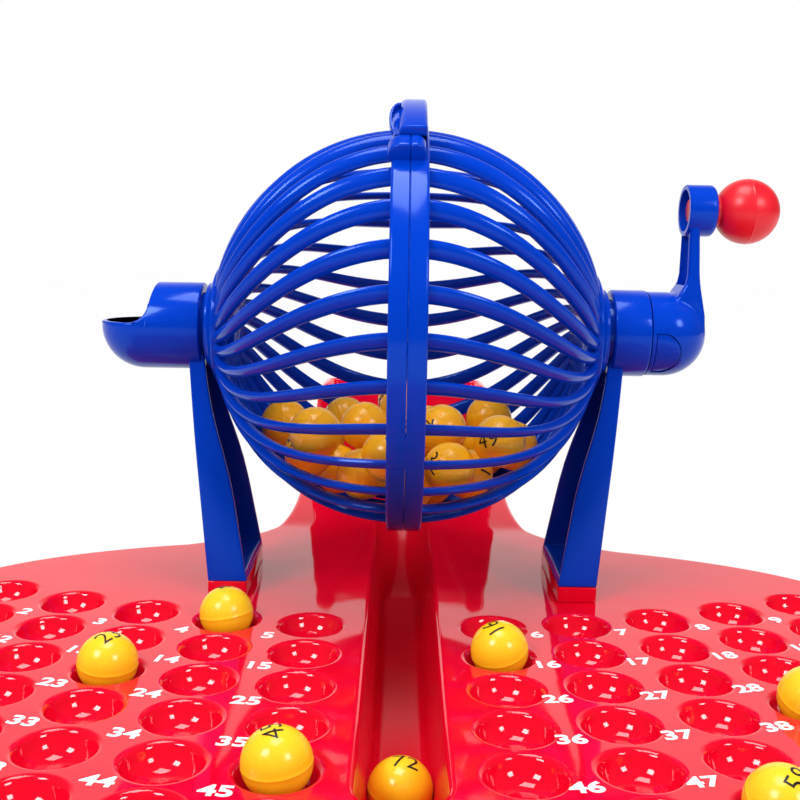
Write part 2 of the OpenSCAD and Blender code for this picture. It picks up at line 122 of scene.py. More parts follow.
class BingoSizes(bpy.types.PropertyGroup):
    """Sizes that a user may change"""
    ring_radius: FloatProperty(
        name="Ring radius", description="Outer radius of the ring round the cage",
        default=0.0816, unit="LENGTH")
    ring_depth: FloatProperty(
        name="Ring depth", description="Depth of the ring, outside to inside",
        default=0.0073, unit="LENGTH")
    ring_half_width: FloatProperty(
        name="Half ring width", description="Width of one of the two halves of the ring",
        default=0.0068, unit="LENGTH")
    rib_radius: FloatProperty(
        name="Rib arc radius", description="Radius of the arc that a rib follows",
        default=0.0767, unit="LENGTH")
    rib_thickness: FloatProperty(
        name="Rib thickness", description="Diameter of a cage rib",
        default=0.0048, unit="LENGTH")
    rib_sweep: FloatProperty(
        name="Rib sweep",
        description="How far a rib would curve round the cage by the time it met the axis",
        default=math.radians(46), subtype="ANGLE")
    rib_count: IntProperty(
        name="Ribs", description="Number of ribs on each half", default=30, min=8, max=30)
    hub_radius: FloatProperty(
        name="Hub radius", description="Radius of the hub where the ribs meet",
        default=0.0235, unit="LENGTH")
    bearing_radius: FloatProperty(
        name="Bearing radius", description="Outer radius of the two bearings",
        default=0.0175, unit="LENGTH")
    ball_diameter: FloatProperty(
        name="Ball diameter", description="Diameter of a number ball",
        default=0.020, unit="LENGTH")
    dimple_radius: FloatProperty(
        name="Dimple radius", description="Radius of a number dimple inside its rounded rim",
        default=0.01124, unit="LENGTH")
    dimple_depth: FloatProperty(
        name="Dimple depth", description="Depth of a number dimple",
        default=0.0078, unit="LENGTH")
    wall: FloatProperty(
        name="Board wall", description="Thickness of the moulded board",
        default=0.0022, unit="LENGTH")
    figure_height: FloatProperty(
        name="Figure height", description="Height of a printed number",
        default=0.0056, unit="LENGTH")


class BingoColours(bpy.types.PropertyGroup):
    """Colours that a user may change"""
    blue: FloatVectorProperty(
        name="Blue", description="Cage, legs, bearings and crank",
        subtype="COLOR", default=linear("#0038B8"))
    red: FloatVectorProperty(
        name="Red", description="Number board", subtype="COLOR", default=linear("#E00426"))
    knob_red: FloatVectorProperty(
        name="Knob red", description="Crank knob", subtype="COLOR", default=linear("#DA0C22"))
    yellow: FloatVectorProperty(
        name="Yellow", description="Balls on the board", subtype="COLOR", default=linear("#FFC81E"))
    # The same yellow balls made a deeper orange inside the cage: painted shade for the shade that the
    # ribs cast on them
    amber: FloatVectorProperty(
        name="Painted_shade_yellow", description="Balls in the cage", subtype="COLOR", default=linear("#FFB218"))
    ink: FloatVectorProperty(
        name="Ink", description="Figures on the balls", subtype="COLOR", default=linear("#16130F"))
    white: FloatVectorProperty(
        name="White", description="Figures on the board", subtype="COLOR", default=linear("#F4F1F2"))


# ---- Working in edit mode ----

def activate(*obs):
    """Leaves only these objects selected, the first one active."""
    if bpy.context.mode != "OBJECT":
        bpy.ops.object.mode_set(mode="OBJECT")
    bpy.ops.object.select_all(action="DESELECT")
    for ob in obs:
        ob.select_set(True)
    if obs:
        bpy.context.view_layer.objects.active = obs[0]


def edit(ob):
    activate(ob)
    bpy.ops.object.mode_set(mode="EDIT")
    bpy.ops.mesh.select_all(action="SELECT")


def pick(kind, test):
    """In edit mode, leaves only the points, edges or faces that pass the test selected."""
    mesh = bpy.context.edit_object.data
    bpy.ops.mesh.select_mode(type=kind)
    bpy.ops.mesh.select_all(action="DESELECT")
    bm = bmesh.from_edit_mesh(mesh)
    for item in {"VERT": bm.verts, "EDGE": bm.edges, "FACE": bm.faces}[kind]:
        item.select_set(test(item))
    bm.select_flush_mode()
    bmesh.update_edit_mesh(mesh)


def close_up(ob):
    """Merges doubles and turns every face outwards."""
    gap = 1e-6
    edit(ob)
    bpy.ops.mesh.remove_doubles(threshold=gap)
    bpy.ops.mesh.dissolve_degenerate(threshold=gap)
    bpy.ops.mesh.select_all(action="SELECT")
    bpy.ops.mesh.normals_make_consistent(inside=False)
    bpy.ops.object.mode_set(mode="OBJECT")
    return ob


def ring_of(points):
    """A circle whose points are moved to the given places."""
    activate()
    bpy.ops.mesh.primitive_circle_add(vertices=len(points), radius=MM)
    ob = bpy.context.active_object
    for vertex, point in zip(ob.data.vertices, points):
        vertex.co = point
    return ob


def shell(rings):
    """Extrudes the first ring through the others, so that each of its points follows its own line."""
    ob = ring_of(rings[0])
    edit(ob)
    for points in rings[1:]:
        bpy.ops.mesh.extrude_edges_move()
        bm = bmesh.from_edit_mesh(ob.data)
        moved = [vertex for vertex in bm.verts if vertex.select]
        for vertex, point in zip(moved, points):
            vertex.co = point
        bmesh.update_edit_mesh(ob.data)
    bpy.ops.object.mode_set(mode="OBJECT")
    return ob


def block(rings):
    """A closed solid through these rings."""
    ob = shell(rings)
    edit(ob)
    for which in (rings[0], rings[-1]):
        ends = [Vector(point) for point in which]
        pick("VERT", lambda vertex: min((vertex.co - p).length for p in ends) < 1e-7)
        bpy.ops.mesh.edge_face_add()
    return close_up(ob)


def turned(profile, centre, angle=360, steps=96, start=0):
    """Spins a closed outline of (x, radius), in millimetres, round an axis along X.

    The start angle is above the front horizontal."""
    away = Vector((0, -math.cos(math.radians(start)), math.sin(math.radians(start))))
    ob = ring_of([centre + AXIS * (x * MM - centre.x) + away * (r * MM) for x, r in profile])
    edit(ob)
    whole = angle == 360
    if not whole:
        bpy.ops.mesh.edge_face_add()
    bpy.ops.mesh.spin(steps=steps, angle=math.radians(angle), center=centre, axis=AXIS)
    bpy.ops.object.mode_set(mode="OBJECT")
    return close_up(ob)


def arc(cx, cy, radius, first, last, count):
    """Points along a round corner of an outline."""
    turns = [math.radians(first + (last - first) * i / count) for i in range(count + 1)]
    return [(cx + radius * math.cos(a), cy + radius * math.sin(a)) for a in turns]


def joined(obs):
    activate(*obs)
    if len(obs) > 1:
        bpy.ops.object.join()
    return obs[0]


def copy_of(ob, matrix):
    """A copy with its own mesh, moved by the matrix."""
    twin = ob.copy()
    twin.data = ob.data.copy()
    twin.data.transform(matrix)
    if matrix.determinant() < 0:
        twin.data.flip_normals()
    bpy.context.scene.collection.objects.link(twin)
    return twin


def modify(ob, kind, **settings):
    """Adds a modifier and applies it."""
    activate(ob)
    modifier = ob.modifiers.new(kind.title(), kind)
    for name, value in settings.items():
        setattr(modifier, name, value)
    bpy.ops.object.modifier_apply(modifier=modifier.name)
    return ob


def cut(ob, tool, operation="DIFFERENCE"):
    """Cuts the tool out of the object, or joins it on, and throws the tool away."""
    modify(ob, "BOOLEAN", object=tool, operation=operation, solver="EXACT")
    bpy.data.objects.remove(tool)
    return ob


def soften(ob, width, angle=35):
    """Rounds the sharp edges, as on a moulding."""
    return modify(ob, "BEVEL", width=width, segments=3, limit_method="ANGLE",
                  angle_limit=math.radians(angle), use_clamp_overlap=False)


def copy_of_node(node, width):
    """A copy of a constructed piece, with clean faces and rounded edges."""
    source = frame["nodes"][node]
    ob = bpy.data.objects.new(node + "_copy", source.data.copy())
    bpy.context.scene.collection.objects.link(ob)
    edit(ob)
    bpy.ops.mesh.remove_doubles(threshold=2e-6)
    bpy.ops.mesh.dissolve_limited(angle_limit=math.radians(0.4))
    bpy.ops.mesh.select_all(action="SELECT")
    bpy.ops.mesh.normals_make_consistent(inside=False)
    bpy.ops.object.mode_set(mode="OBJECT")
    return soften(ob, width)


def hand_over(ob, name, body, material, nodes=(), smooth=38):
    """Names a finished piece, shades it and ties it to the frame."""
    activate(ob)
    bpy.ops.object.shade_smooth_by_angle(angle=math.radians(smooth))
    ob.name = name
    ob.data.name = name
    if material:
        ob.data.materials.clear()
        ob.data.materials.append(material)
    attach(ob, body)
    if nodes:
        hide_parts(*nodes)
    return ob


# ---- Materials ----

def add_node(tree, kind, links=None, **settings):
    """Adds a node, sets its own properties and sockets, and links its inputs."""
    node = tree.nodes.new(kind)
    for name, value in settings.items():
        if hasattr(node, name):
            setattr(node, name, value)
        else:
            node.inputs[name.replace("_", " ")].default_value = value
    for socket, source in (links or {}).items():
        tree.links.new(source, node.inputs[socket])
    return node


def moulded(name, colour, rough, spread, grain, depth, wave=None, **shader_values):
    """A glossy moulded plastic with a slightly uneven skin.

    Rough and spread give the middle and the range of its roughness, grain and wave the sizes in
    metres of its fine and broad unevenness, and depth the height of the fine one."""
    material = bpy.data.materials.get(name) or bpy.data.materials.new(name)
    material.use_nodes = True
    tree = material.node_tree
    tree.nodes.clear()
    where = add_node(tree, "ShaderNodeTexCoord")
    mottle = add_node(tree, "ShaderNodeTexNoise", {"Vector": where.outputs["Object"]},
                      Scale=1 / (12 * grain), Detail=3.0)
    gloss = add_node(tree, "ShaderNodeMapRange", {"Value": mottle.outputs["Fac"]},
                     From_Min=0.3, From_Max=0.7, To_Min=rough - spread, To_Max=rough + spread)
    skin = add_node(tree, "ShaderNodeTexNoise", {"Vector": where.outputs["Object"]},
                    Scale=1 / grain, Detail=2.0)
    relief = add_node(tree, "ShaderNodeBump", {"Height": skin.outputs["Fac"]},
                      Strength=1.0, Distance=depth)
    if wave:
        size, height = wave
        swell = add_node(tree, "ShaderNodeTexNoise", {"Vector": where.outputs["Object"]},
                         Scale=1 / size, Detail=1.0)
        relief = add_node(tree, "ShaderNodeBump",
                          {"Height": swell.outputs["Fac"], "Normal": relief.outputs["Normal"]},
                          Strength=1.0, Distance=height)
    tint = add_node(tree, "ShaderNodeMix", {"Factor": mottle.outputs["Fac"]}, data_type="RGBA")
    tint.inputs["A"].default_value = (*[0.94 * c for c in colour], 1)
    tint.inputs["B"].default_value = (*[min(1, 1.05 * c) for c in colour], 1)
    shader = add_node(tree, "ShaderNodeBsdfPrincipled",
                      {"Base Color": tint.outputs["Result"], "Roughness": gloss.outputs["Result"],
                       "Normal": relief.outputs["Normal"]}, **shader_values)
    add_node(tree, "ShaderNodeOutputMaterial", {"Surface": shader.outputs["BSDF"]})
    return material


def blue_plastic():
    # Glossy injection-moulded polypropylene: an even royal blue whose highlights stay soft-edged
    return moulded("glossy_moulded_polypropylene_blue", bpy.context.scene.bingo_colours.blue,
                   0.15, 0.03, 0.0016, 0.00001, IOR=1.45, Specular_Tint=(0.3, 0.5, 1, 1))


def red_plastic():
    # High-gloss thermoformed polystyrene: a mirror-like sheet that waves a little between its dimples
    return moulded("high_gloss_polystyrene_red", bpy.context.scene.bingo_colours.red,
                   0.06, 0.02, 0.0022, 0.000006, wave=(0.028, 0.00025), IOR=1.56)


def trough_plastic():
    # The same sheet drawn thin and deep in the trough: its shine is spread wide and weak
    return moulded("deep_drawn_polystyrene_red", bpy.context.scene.bingo_colours.red,
                   0.2, 0.03, 0.0022, 0.000006, IOR=1.56, Specular_IOR_Level=0.12)


def knob_plastic():
    # Satin moulded polypropylene: light spreads wide over it and its red looks milky
    return moulded("satin_moulded_polypropylene_red", bpy.context.scene.bingo_colours.knob_red,
                   0.3, 0.05, 0.0014, 0.00001, IOR=1.49)


def ball_plastic(name, colour):
    # Hollow blown polypropylene balls: warm yellow, smooth, with a small soft highlight
    return moulded(name, colour, 0.24, 0.04, 0.0014, 0.000008, IOR=1.49,
                   Subsurface_Weight=0.3, Subsurface_Radius=(1, 0.35, 0.08), Subsurface_Scale=0.004)


def printed(name, colour):
    # Pad-printed ink: a thin, flat and slightly dull layer
    return moulded(name, colour, 0.4, 0.05, 0.0008, 0.000004, IOR=1.5)


def blue_piece(ob, name, body, nodes):
    return hand_over(ob, name, body, blue_plastic(), nodes)


def red_piece(ob, name, nodes):
    return hand_over(ob, name, "stand", red_plastic(), nodes)


# ---- The board ----

def place(x, y, z):
    """A point from millimetres beside and in front of the cage's centre, and above the floor."""
    return Vector((x * MM, y * MM + CAGE.y, z * MM))


def board_outline(inset):
    """The board's outline: the right side from the neck's end to the front, and back up the left."""
    right = []
    for i in range(33):
        y = REAR - inset - i * (REAR - inset - NECK_Y) / 32
        neck = NECK_HALF + NECK_FLARE * math.exp(-(y - NECK_Y) / NECK_DECAY)
        right.append((neck - inset, y))
    for i in range(29):
        a = math.radians(58 - 2 * i)
        right.append(((HALF_WIDTH - inset) * math.cos(a),
                      OVAL_Y + (OVAL_DEPTH - inset) * math.sin(a)))
    right += arc(HALF_WIDTH - CORNER, FRONT + CORNER, CORNER - inset, 0, -90, 18)
    return right + [(-x, y) for x, y in reversed(right)]


def dimple_centre(number):
    """Where a number's dimple lies, and how far its row has turned there, in degrees."""
    row, i = divmod(number - 1, 10)
    side, column = (-1, 4 - i) if i < 5 else (1, i - 5)
    turn = FIRST_COLUMN + column * COLUMN_STEP
    a = math.radians(turn)
    x, y = side * ROW_ARC * math.sin(a), FIRST_ROW_Y - row * ROW_PITCH + ROW_ARC * (1 - math.cos(a))
    return x, y, side * turn


def rim_rings(radius, band):
    """(inset, drop) pairs down the board's rounded outer edge, after a narrow flat band."""
    bend = [math.radians(18 * i) for i in range(6)]
    edge = [(radius * (1 - math.sin(a)), radius * (1 - math.cos(a))) for a in bend]
    return [(radius + band, 0)] + edge


def trough_ring(widen, depth):
    """One level of the trough: back right to front, round its end, and back up the left."""
    rows = [RAMP_Y - 5 * i for i in range(17)] + [44, 24, 4, -16, -36, -56, -76, -96, -116, -136, -154]
    top = DECK_Z / MM

    def at(y):
        """Half the trough's width there, and how far down this level lies."""
        rise = min(1, max(0, (y - TROUGH_SLOPE_Y) / (RAMP_Y - TROUGH_SLOPE_Y)))
        drop = depth * (1 - 0.97 * rise * rise * (3 - 2 * rise))
        pinch = 1 - 0.8 * (depth / TROUGH_DEPTH) ** 2 * math.sin(math.pi * rise)
        half = TROUGH_HALF - (TROUGH_HALF - TROUGH_FLOOR_HALF) * drop / TROUGH_DEPTH + widen
        return half * pinch, drop

    sides = [(*at(y), y) for y in rows]
    right = [place(half, y, top - drop) for half, drop, y in sides]
    left = [place(-half, y, top - drop) for half, drop, y in reversed(sides)]
    radius = at(TROUGH_END_Y)[0]
    turns = [math.radians(-10 * i) for i in range(19)]
    end = [place(radius * math.cos(a), TROUGH_END_Y + radius * math.sin(a), top - depth) for a in turns]
    return right + end + left


def board_tray():
    sizes = bpy.context.scene.bingo_sizes
    top = DECK_Z / MM
    edges = rim_rings(3, 0.6) + [(0, top - 14), (0, top - 1.2), (0.25, top)]
    tray = [shell([[place(x, y, top - drop) for x, y in board_outline(inset)]
                   for inset, drop in edges])]

    radius, depth = sizes.dimple_radius / MM, sizes.dimple_depth / MM
    bowl = [(radius + 2.3, 0), (radius + 2.1, 0), (radius + 1.5, 0.12), (radius + 0.8, 0.5),
            (radius + 0.25, 1.15), (radius - 0.1, 2.1), (radius - 0.75, 3.7), (radius - 1.75, 5.3),
            (radius - 3.2, 6.7), (radius - 5, depth - 0.25), (radius - 7.2, depth)]
    turns = [math.radians(360 * i / 44) for i in range(44)]
    dimple = shell([[Vector((r * math.cos(a), r * math.sin(a), top - drop)) * MM for a in turns]
                    for r, drop in bowl])
    edit(dimple)
    pick("VERT", lambda vertex: vertex.co.z < (top - depth + 0.01) * MM)
    bpy.ops.mesh.edge_face_add()
    bpy.ops.mesh.poke()
    bpy.ops.object.mode_set(mode="OBJECT")
    for number in range(1, LAST_NUMBER + 1):
        x, y, _ = dimple_centre(number)
        tray.append(copy_of(dimple, Matrix.Translation(place(x, y, 0))))
    bpy.data.objects.remove(dimple)

    levels = [(2.1, 0), (1.9, 0), (1.2, 0.15), (0.55, 0.6), (0.15, 1.3), (0, 2.2), (0, 8), (0, 16),
              (0, 24), (-0.1, 28.4), (-0.7, 30), (-1.8, 30.8), (-3, 31)]
    trough = shell([trough_ring(widen, drop) for widen, drop in levels])
    edit(trough)
    pick("EDGE", lambda edge: edge.is_boundary and not all(
        vertex.co.z > (top - 0.001) * MM for vertex in edge.verts))
    bpy.ops.mesh.fill()
    tray.append(trough)

    tray = joined(tray)
    edit(tray)
    pick("EDGE", lambda edge: len(edge.link_faces) == 1 and all(
        abs(vertex.co.z - DECK_Z) < 1e-6 for vertex in edge.verts))
    bpy.ops.mesh.fill()
    for y in (FOLD_Y - FOLD_HALF, FOLD_Y, FOLD_Y + FOLD_HALF, RAMP_Y - 3, RAMP_Y):
        bpy.ops.mesh.select_all(action="SELECT")
        bpy.ops.mesh.bisect(plane_co=place(0, y, 0), plane_no=(0, 1, 0))
    bm = bmesh.from_edit_mesh(tray.data)
    for vertex in bm.verts:
        y = (vertex.co.y - CAGE.y) / MM
        share = min(1, max(0, (vertex.co.z / MM - top + 12) / 8))
        vertex.co.z += ramp_rise(y) * share * MM
    bmesh.update_edit_mesh(tray.data)
    bpy.ops.mesh.select_all(action="SELECT")
    bpy.ops.mesh.remove_doubles(threshold=1e-6)
    bpy.ops.mesh.normals_make_consistent(inside=False)
    bpy.ops.object.mode_set(mode="OBJECT")
    if sum(face.normal.z * face.area for face in tray.data.polygons) < 0:
        tray.data.flip_normals()
    modify(tray, "SOLIDIFY", thickness=sizes.wall, offset=-1)
    red_piece(tray, "board_tray",
              ("board_deck", "left_field_rear", "left_field_middle", "left_field_front",
               "right_field_rear", "right_field_middle", "right_field_front",
               "board_skirt", "ball_trough", "neck_ramp"))
    tray.data.materials.append(trough_plastic())
    reach = TROUGH_HALF + 1
    low, high = place(-reach, TROUGH_END_Y - reach, 0), place(reach, RAMP_Y, top - 1)
    for face in tray.data.polygons:
        if all(low[i] < face.center[i] < high[i] for i in range(3)):
            face.material_index = 1
    return tray


def ramp_rise(y):
    """How far the neck has risen towards the chute, with a soft fold at its start."""
    slope = RAMP_H / (RAMP_Y - FOLD_Y)
    if y < FOLD_Y - FOLD_HALF:
        return 0
    if y < FOLD_Y + FOLD_HALF:
        return slope * (y - FOLD_Y + FOLD_HALF) ** 2 / (4 * FOLD_HALF)
    return min(RAMP_H, slope * (y - FOLD_Y))


def figures(text, height, bold, thickness):
    """A number as a thin solid round the origin, facing up."""
    activate()
    bpy.ops.object.text_add()
    ob = bpy.context.active_object
    font = ob.data
    font.body = text
    font.align_x, font.align_y = "CENTER", "CENTER"
    font.size = height / 0.72
    font.offset = bold
    font.extrude = thickness / 2
    font.resolution_u = 6
    bpy.ops.object.convert(target="MESH")
    return bpy.context.active_object


def board_figures():
    sizes = bpy.context.scene.bingo_sizes
    prints = []
    for number in range(1, LAST_NUMBER + 1):
        x, y, turn = dimple_centre(number)
        ob = figures(str(number), sizes.figure_height, 0.00023, 0.00012)
        side = 1 if turn > 0 else -1
        # Beside and below its dimple; the two in the round front corners stand under theirs
        across, down = (15.6, 6.4) if side > 0 else (14.6, 11.6)
        if number in CORNER_NUMBERS:
            across, down = 6, 16.3
        at = place(x + side * across, y - down, 0)
        at.z = DECK_Z + PRINT_LIFT
        ob.data.transform(Matrix.Translation(at) @ Matrix.Rotation(math.radians(turn), 4, "Z")
                          @ Matrix.Diagonal((1.25, 1, 1, 1)))
        prints.append(ob)
    ob = close_up(joined(prints))
    return hand_over(ob, "board_figures", "stand",
                     printed("pad_printed_white", bpy.context.scene.bingo_colours.white))


def rear_chute():
    return red_piece(copy_of_node("rear_chute", 0.0014), "rear_chute_moulding", ("rear_chute",))


def leg_sockets():
    return red_piece(copy_of_node("leg_sockets", 0.0007), "leg_socket_mouldings", ("leg_sockets",))


# ---- Legs and bearings ----

def leg(side):
    """A constructed leg with its sides evened into smooth curves from its socket to its bearing."""
    ob = copy_of_node(side + "_leg", 0.0008)
    step, window, narrowing = 3, 4, 0.36
    levels = range(-99, 0, step)
    edit(ob)
    for level in levels:
        bpy.ops.mesh.select_all(action="SELECT")
        bpy.ops.mesh.bisect(plane_co=on_axis(0, 0, level), plane_no=(0, 0, 1))
    bpy.ops.object.mode_set(mode="OBJECT")
    spans = []
    for level in levels:
        height = CAGE.z + level * MM
        row = [vertex.co.x for vertex in ob.data.vertices if abs(vertex.co.z - height) < 2e-5]
        if row:
            spans.append((level, min(row), max(row)))

    def sides(level, even):
        """The leg's sides at a level, as they are or evened out over its neighbours."""
        at = min(len(spans) - 1.001, max(0, (level - spans[0][0]) / step))
        ends = []
        for i in (int(at), int(at) + 1):
            reach = min(window, i, len(spans) - 1 - i) if even else 0
            near = spans[i - reach:i + reach + 1]
            ends.append([sum(span[k] for span in near) / len(near) for k in (1, 2)])
        return [ends[0][k] + (ends[1][k] - ends[0][k]) * (at - int(at)) for k in (0, 1)]

    for vertex in ob.data.vertices:
        level = (vertex.co.z - CAGE.z) / MM
        (low, high), (even_low, even_high) = sides(level, False), sides(level, True)
        vertex.co.x = even_low + (vertex.co.x - low) * (even_high - even_low) / (high - low)
        # Narrow the top, so that the leg goes in under its bearing
        share = max(0, level + 55) / 48
        vertex.co.y = CAGE.y + (vertex.co.y - CAGE.y) * (1 - narrowing * share * share)
    return blue_piece(ob, side + "_leg_moulding", "stand", (side + "_leg",))


def on_axis(x, along, up):
    """A point from millimetres along X, in front of the cage's axis and above it."""
    return Vector((x * MM, CAGE.y - along * MM, CAGE.z + up * MM))


def plate(outline, front, back):
    """A solid with an outline of (x, z) beside the cage's axis, from front to back."""
    return block([[on_axis(x, along, z) for x, z in outline] for along in (front, back)])


def scoop_and_bearing():
    """The left bearing and the scoop that catches a ball, one moulding with a round nose."""
    outer = bpy.context.scene.bingo_sizes.bearing_radius / MM
    wall, near, far, nose = 2.3, -82, -102, -106
    profile = [(near, BEARING_BORE), (near, outer)] + arc(nose, 0, outer, 90, 180, 20)
    profile += arc(nose, 0, outer - wall, 180, 90, 20) + [(far, outer - wall), (far, BEARING_BORE)]
    ob = turned(profile, CAGE)
    opening = [(-140, 30), (-140, 2)] + arc(far - 8, 10, 8, -90, -6, 8)
    opening += [(far + 1.4, 19), (far + 1.4, 30)]
    cut(ob, plate(opening, 30, -30))
    soften(ob, 0.0007, angle=40)
    return blue_piece(ob, "scoop_and_left_bearing", "stand", ("left_bearing", "ball_scoop"))


def right_bearing():
    outer = bpy.context.scene.bingo_sizes.bearing_radius / MM
    near, far = 82, 96.5
    ob = turned([(near, BEARING_BORE), (near, outer), (far, outer), (far, BEARING_BORE)], CAGE)
    soften(ob, 0.0009)
    return blue_piece(ob, "right_bearing_housing", "stand", ("right_bearing",))


# ---- Cage ----

def mirrored(ob, side):
    """The piece on the other side of the cage, where side is -1."""
    if side > 0:
        return ob
    ob.data.transform(Matrix.Diagonal((-1, 1, 1, 1)))
    ob.data.flip_normals()
    return ob


def tongue(grow, middle):
    """A snap tongue that reaches across the split between the ring's halves."""
    outer = bpy.context.scene.bingo_sizes.ring_radius / MM
    low, high = outer - 3.4 - grow, outer - 0.1 + 3 * grow
    return turned([(-6.7 - 2 * grow, low), (0.6, low), (0.6, high), (-6.7 - 2 * grow, high)],
                  CAGE, angle=TONGUE_ANGLE + 0.4 * grow, steps=8,
                  start=middle - TONGUE_ANGLE / 2 - 0.2 * grow)


def ring_half(side):
    """Half of the ring round the cage, with the lug and the rail for the latch."""
    sizes = bpy.context.scene.bingo_sizes
    outer, half = sizes.ring_radius / MM, sizes.ring_half_width / MM
    inner = outer - sizes.ring_depth / MM
    profile = [(0.08, inner + 0.3), (0.38, inner)] + arc(half - 0.8, inner + 0.8, 0.8, -90, 0, 3)
    profile += arc(half - 1, outer - 1, 1, 0, 90, 4) + [(0.38, outer), (0.08, outer - 0.3)]
    ob = mirrored(turned(profile, CAGE, steps=168), side)
    if side < 0:
        for angle in TONGUE_PLACES:
            cut(ob, tongue(0.15, angle))
        width, shoulder, rail_end = half + 1.5, 5.2, LEFT_RAIL_END
    else:
        for angle in TONGUE_PLACES:
            piece = tongue(0, angle)
            soften(piece, 0.00025)
            cut(ob, piece, "UNION")
        width, shoulder, rail_end = half - 1.3, 3.4, RIGHT_RAIL_END
    lug = [(0, outer - 1), (width, outer - 1)]
    lug += arc(width - shoulder, outer + 6.4 - shoulder, shoulder, 0, 90, 7) + [(0, outer + 6.4)]
    lug = mirrored(turned(lug, CAGE, angle=LUG_ANGLE, steps=4, start=LUG_START), side)
    soften(lug, 0.0007, angle=40)
    rail = [(0, outer - 1), (3.2, outer - 1), (3.2, outer + 1.6), (4.6, outer + 1.6),
            (4.6, outer + 4.4), (0, outer + 4.4)]
    rail = turned(rail, CAGE, angle=rail_end - RAIL_START, steps=16, start=RAIL_START)
    rail = mirrored(rail, side)
    ob = joined([ob, lug, rail])
    name = "left_ring" if side < 0 else "right_ring"
    return blue_piece(ob, name + "_band", "cage", (name,))


def rib_set(side):
    """The thirty ribs of one half: one rib spun along its arc, then copied round the axis."""
    sizes = bpy.context.scene.bingo_sizes
    radius, thick = sizes.rib_radius, sizes.rib_thickness / 2
    first = math.asin(0.88 * sizes.hub_radius / radius)
    last = math.acos((sizes.ring_half_width - 0.001) / radius)
    turns = [math.radians(360 * i / 14) for i in range(14)]
    out, up = Vector((math.cos(first), -math.sin(first), 0)), Vector((0, 0, 1))
    section = [(radius + thick * math.cos(a), thick * math.sin(a)) for a in turns]
    rib = ring_of([CAGE + out * r + up * z for r, z in section])
    edit(rib)
    bpy.ops.mesh.edge_face_add()
    bpy.ops.mesh.spin(steps=26, angle=last - first, center=CAGE, axis=(0, 0, 1))
    bpy.ops.object.mode_set(mode="OBJECT")
    close_up(rib)
    step = 360 / sizes.rib_count
    to_cage, back = Matrix.Translation(CAGE), Matrix.Translation(-CAGE)
    for vertex in rib.data.vertices:
        away = vertex.co - CAGE
        sweep = sizes.rib_sweep * (1 - math.hypot(away.y, away.z) / radius)
        vertex.co = CAGE + Matrix.Rotation(sweep, 3, "X") @ away
    ribs = [copy_of(rib, to_cage @ Matrix.Rotation(math.radians(i * step + RIB_PHASE), 4, "X") @ back)
            for i in range(sizes.rib_count)]
    bpy.data.objects.remove(rib)
    name = "left_ribs" if side < 0 else "right_ribs"
    return blue_piece(mirrored(joined(ribs), side), name + "_round", "cage", (name,))


def hub(side):
    """The hub where the ribs meet, in one moulding with its journal on the left."""
    sizes = bpy.context.scene.bingo_sizes
    rim = sizes.hub_radius / MM
    end = math.sqrt((sizes.rib_radius / MM) ** 2 - rim ** 2)
    bore = 11.4 if side < 0 else 0
    profile = [(end - 1, bore), (end - 3.2, rim), (end + 3.2, rim), (end + 5.6, 17.5), (80, 17.5)]
    profile += [(80, JOURNAL_R), (102, JOURNAL_R), (102, bore)] if side < 0 else [(80, bore)]
    ob = mirrored(turned(profile, CAGE), side)
    soften(ob, 0.0006, angle=25)
    names = ("left_hub", "left_journal") if side < 0 else ("right_hub",)
    return blue_piece(ob, names[0] + "_moulding", "cage", names)


def journal_pin():
    ob = copy_of_node("right_journal", 0.0004)
    return blue_piece(ob, "right_journal_pin", "cage", ("right_journal",))


def latch():
    """The clip that slides along the rails and holds the two halves together, with its thumb cup."""
    outer = bpy.context.scene.bingo_sizes.ring_radius / MM
    foot, top = outer + 0.7, outer + 9
    section = [(-6.2, foot), (6, foot)] + arc(6 - 1.4, top - 1.4, 1.4, 0, 90, 4)
    section += arc(-4.4 + 3, top - 3, 3, 90, 180, 6) + [(-4.4, top - 3.6), (-6.2, top - 4.4)]
    ob = turned(section, CAGE, angle=LATCH_ANGLE, steps=23, start=LATCH_START)
    groove = [(-3.55, foot - 2), (3.55, foot - 2), (3.55, outer + 1.25), (4.95, outer + 1.25),
              (4.95, outer + 4.75), (-4.95, outer + 4.75), (-4.95, outer + 1.25), (-3.55, outer + 1.25)]
    cut(ob, turned(groove, CAGE, angle=27, steps=27, start=55))
    soften(ob, 0.0007, angle=40)
    # The thumb cup: a half-round pocket on the clip's left side, open to the front
    low, high = (math.radians(a) for a in (61, 72))
    foot_at = Vector((-math.cos(low), math.sin(low))) * (outer + 0.9)
    head_at = Vector((-math.cos(high), math.sin(high))) * (outer + 7)
    middle, along = (foot_at + head_at) / 2, (head_at - foot_at) / 2
    across = Vector((-along.y, along.x)).normalized()

    def half_round(reach, share, forward):
        """Points of a half oval on the clip's left, some millimetres forward of its foot."""
        bend = [math.radians(i * 15 - 90) for i in range(13)]
        outline = [(-3.6, -share)] + [(-4.4 - reach * math.cos(a), share * math.sin(a)) for a in bend]
        spots = [(x, middle + along * t + across * forward) for x, t in outline + [(-3.6, share)]]
        return [on_axis(x, -spot.x, spot.y) for x, spot in spots]

    cup = block([half_round(3.6, 1, 0.2), half_round(3.6, 1, 3)])
    soften(cup, 0.0003, angle=50)
    cut(cup, block([half_round(2.8, 0.88, 1), half_round(2.8, 0.88, 4)]))
    ob = joined([ob, cup])
    return blue_piece(ob, "latch_clip_moulding", "latch", ("latch_clip",))


# ---- Crank and knob ----

def rounded_box(x1, x2, half, corner):
    """A rectangle across the crank's arm, with round corners, as (x, y) points."""
    points = []
    for cx, cy, first in ((x2, half, 0), (x1, half, 90), (x1, -half, 180), (x2, -half, 270)):
        inset_x = cx - math.copysign(corner, cx - (x1 + x2) / 2)
        inset_y = cy - math.copysign(corner, cy)
        points += arc(inset_x, inset_y, corner, first, first + 90, 3)
    return points


